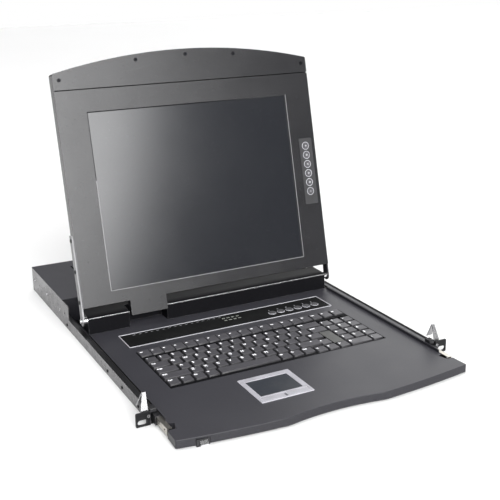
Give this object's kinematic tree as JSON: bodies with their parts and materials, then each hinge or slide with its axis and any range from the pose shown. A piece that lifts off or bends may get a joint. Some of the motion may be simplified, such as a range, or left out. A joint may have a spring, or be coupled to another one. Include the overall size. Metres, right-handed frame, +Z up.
{
  "type": "rackmount lcd console drawer",
  "caption": "Rack drawer that pulls out on telescopic rails with a keyboard, touchpad and port buttons on its deck and a tilting flat screen hinged at its back.",
  "frame": {"origin": "middle of the line between the two ear slots, on the ears' back faces that bear on the rack posts", "axes": "+X to the user's right, +Y into the rack, +Z up"},
  "size_m": [0.4826, 0.6512, 0.4204],
  "materials": {
    "black_paint": "fine textured black powder coat, satin",
    "housing_paint": "black powder coat, slightly lighter",
    "zinc_steel": "galvanised sheet steel, soft satin",
    "rail_steel": "zinc plated rolled steel rails",
    "bright_metal": "bright nickel plated steel",
    "black_plastic": "fine textured black plastic",
    "key_plastic": "matt charcoal key caps",
    "strip_plastic": "dark grey-green printed strip",
    "button_plastic": "dark satin push buttons",
    "silver_trim": "silver painted frame, satin",
    "pad_film": "dark touch film",
    "screen_glass": "dark glossy screen",
    "board_green": "green solder mask",
    "supply_case": "folded aluminium case",
    "black_steel": "blackened steel"
  },
  "bodies": {
    "root": {"chassis_tray": "zinc_steel", "bulkhead": "black_paint", "rear_cover": "black_paint", "rear_panel": "black_paint", "computer_ports": "black_plastic", "switch_board": "board_green", "power_supply": "supply_case", "power_inlet": "black_plastic", "ear_left": "black_paint", "ear_right": "black_paint", "rail_stops": "black_plastic", "chassis_fasteners": "bright_metal", "rail_screws": "black_steel", "outer_rails": "rail_steel"},
    "middle": {"middle_rails": "rail_steel"},
    "drawer": {"inner_rails": "rail_steel", "drawer_tray": "black_paint", "drawer_pan": "zinc_steel", "hinge_housing": "housing_paint", "hinge_shafts": "bright_metal", "latch_housing": "black_plastic", "keyboard_frame": "black_plastic", "control_strip": "strip_plastic", "strip_trim": "silver_trim", "touchpad_frame": "silver_trim", "touchpad_surface": "pad_film"},
    "display": {"display_bezel": "housing_paint", "arc_plate": "housing_paint", "display_shell": "black_paint", "display_panel": "screen_glass", "display_screws": "black_steel", "hinge_arm_left": "bright_metal", "hinge_arm_right": "bright_metal", "osd_panel": "black_plastic"},
    "latch": {"front_latch": "bright_metal"},
    "clip_left": {"release_clip_left": "bright_metal"},
    "clip_right": {"release_clip_right": "bright_metal"},
    "rocker": {"power_rocker": "button_plastic"},
    "touch_left": {"touch_button_left": "silver_trim"},
    "touch_right": {"touch_button_right": "silver_trim"},
    "keys_function": {"keys_function": "key_plastic"},
    "keys_number": {"keys_number": "key_plastic"},
    "keys_upper": {"keys_upper": "key_plastic"},
    "keys_home": {"keys_home": "key_plastic"},
    "keys_lower": {"keys_lower": "key_plastic"},
    "keys_bottom": {"keys_bottom": "key_plastic"},
    "keys_arrows": {"keys_arrows": "key_plastic"},
    "keys_numbers": {"keys_numbers": "key_plastic"},
    "port_1": {"port_button_1": "button_plastic"},
    "port_2": {"port_button_2": "button_plastic"},
    "port_3": {"port_button_3": "button_plastic"},
    "port_4": {"port_button_4": "button_plastic"},
    "port_5": {"port_button_5": "button_plastic"},
    "port_6": {"port_button_6": "button_plastic"},
    "osd_1": {"osd_button_1": "button_plastic"},
    "osd_2": {"osd_button_2": "button_plastic"},
    "osd_3": {"osd_button_3": "button_plastic"},
    "osd_4": {"osd_button_4": "button_plastic"},
    "osd_5": {"osd_button_5": "button_plastic"},
    "osd_6": {"osd_button_6": "button_plastic"}
  },
  "joints": [
    {"name": "drawer_slide", "type": "slide", "parent": "root", "child": "drawer", "axis": [0, -1, 0], "range_m": [-0.042, 0.36]},
    {"name": "middle_slide", "type": "slide", "parent": "root", "child": "middle", "axis": [0, -1, 0], "range_m": [-0.021, 0.18]},
    {"name": "display_hinge", "type": "hinge", "parent": "drawer", "child": "display", "pos_m": [0, 0.288, 0.02827], "axis": [-1, 0, 0], "range_deg": [-103.5, 16.5]},
    {"name": "latch_slide", "type": "slide", "parent": "drawer", "child": "latch", "axis": [0, 1, 0], "range_m": [0, 0.003], "stiffness_N_per_m": 500, "springref_m": -0.004},
    {"name": "clip_left_pivot", "type": "hinge", "parent": "root", "child": "clip_left", "pos_m": [-0.2275, 0.0042, 0.00807], "axis": [-1, 0, 0], "range_deg": [0, 12], "stiffness_Nm_per_rad": 0.3, "springref_deg": -11.46},
    {"name": "clip_right_pivot", "type": "hinge", "parent": "root", "child": "clip_right", "pos_m": [0.2275, 0.0042, 0.00807], "axis": [-1, 0, 0], "range_deg": [0, 12], "stiffness_Nm_per_rad": 0.3, "springref_deg": -11.46},
    {"name": "rocker_pivot", "type": "hinge", "parent": "root", "child": "rocker", "pos_m": [0.161, 0.5545, 0.01512], "axis": [-1, 0, 0], "range_deg": [0, 14]},
    {"name": "touch_left_press", "type": "slide", "parent": "drawer", "child": "touch_left", "axis": [0, 0, -1], "range_m": [0, 0.0008], "stiffness_N_per_m": 600, "springref_m": -0.001},
    {"name": "touch_right_press", "type": "slide", "parent": "drawer", "child": "touch_right", "axis": [0, 0, -1], "range_m": [0, 0.0008], "stiffness_N_per_m": 600, "springref_m": -0.001},
    {"name": "keys_function_press", "type": "slide", "parent": "drawer", "child": "keys_function", "axis": [0, 0, -1], "range_m": [0, 0.002], "stiffness_N_per_m": 800, "springref_m": -0.002},
    {"name": "keys_number_press", "type": "slide", "parent": "drawer", "child": "keys_number", "axis": [0, 0, -1], "range_m": [0, 0.002], "stiffness_N_per_m": 800, "springref_m": -0.002},
    {"name": "keys_upper_press", "type": "slide", "parent": "drawer", "child": "keys_upper", "axis": [0, 0, -1], "range_m": [0, 0.002], "stiffness_N_per_m": 800, "springref_m": -0.002},
    {"name": "keys_home_press", "type": "slide", "parent": "drawer", "child": "keys_home", "axis": [0, 0, -1], "range_m": [0, 0.002], "stiffness_N_per_m": 800, "springref_m": -0.002},
    {"name": "keys_lower_press", "type": "slide", "parent": "drawer", "child": "keys_lower", "axis": [0, 0, -1], "range_m": [0, 0.002], "stiffness_N_per_m": 800, "springref_m": -0.002},
    {"name": "keys_bottom_press", "type": "slide", "parent": "drawer", "child": "keys_bottom", "axis": [0, 0, -1], "range_m": [0, 0.002], "stiffness_N_per_m": 800, "springref_m": -0.002},
    {"name": "keys_arrows_press", "type": "slide", "parent": "drawer", "child": "keys_arrows", "axis": [0, 0, -1], "range_m": [0, 0.002], "stiffness_N_per_m": 800, "springref_m": -0.002},
    {"name": "keys_numbers_press", "type": "slide", "parent": "drawer", "child": "keys_numbers", "axis": [0, 0, -1], "range_m": [0, 0.002], "stiffness_N_per_m": 800, "springref_m": -0.002},
    {"name": "port_1_press", "type": "slide", "parent": "drawer", "child": "port_1", "axis": [0, 0, -1], "range_m": [0, 0.0012], "stiffness_N_per_m": 400, "springref_m": -0.001},
    {"name": "port_2_press", "type": "slide", "parent": "drawer", "child": "port_2", "axis": [0, 0, -1], "range_m": [0, 0.0012], "stiffness_N_per_m": 400, "springref_m": -0.001},
    {"name": "port_3_press", "type": "slide", "parent": "drawer", "child": "port_3", "axis": [0, 0, -1], "range_m": [0, 0.0012], "stiffness_N_per_m": 400, "springref_m": -0.001},
    {"name": "port_4_press", "type": "slide", "parent": "drawer", "child": "port_4", "axis": [0, 0, -1], "range_m": [0, 0.0012], "stiffness_N_per_m": 400, "springref_m": -0.001},
    {"name": "port_5_press", "type": "slide", "parent": "drawer", "child": "port_5", "axis": [0, 0, -1], "range_m": [0, 0.0012], "stiffness_N_per_m": 400, "springref_m": -0.001},
    {"name": "port_6_press", "type": "slide", "parent": "drawer", "child": "port_6", "axis": [0, 0, -1], "range_m": [0, 0.0012], "stiffness_N_per_m": 400, "springref_m": -0.001},
    {"name": "osd_1_press", "type": "slide", "parent": "display", "child": "osd_1", "axis": [0, 0.9724, -0.2334], "range_m": [0, 0.0008], "stiffness_N_per_m": 400, "springref_m": -0.001},
    {"name": "osd_2_press", "type": "slide", "parent": "display", "child": "osd_2", "axis": [0, 0.9724, -0.2334], "range_m": [0, 0.0008], "stiffness_N_per_m": 400, "springref_m": -0.001},
    {"name": "osd_3_press", "type": "slide", "parent": "display", "child": "osd_3", "axis": [0, 0.9724, -0.2334], "range_m": [0, 0.0008], "stiffness_N_per_m": 400, "springref_m": -0.001},
    {"name": "osd_4_press", "type": "slide", "parent": "display", "child": "osd_4", "axis": [0, 0.9724, -0.2334], "range_m": [0, 0.0008], "stiffness_N_per_m": 400, "springref_m": -0.001},
    {"name": "osd_5_press", "type": "slide", "parent": "display", "child": "osd_5", "axis": [0, 0.9724, -0.2334], "range_m": [0, 0.0008], "stiffness_N_per_m": 400, "springref_m": -0.001},
    {"name": "osd_6_press", "type": "slide", "parent": "display", "child": "osd_6", "axis": [0, 0.9724, -0.2334], "range_m": [0, 0.0008], "stiffness_N_per_m": 400, "springref_m": -0.001}
  ],
  "couplings": [
    {"joint": "middle_slide", "follows": "drawer_slide", "ratio": 0.5}
  ]
}
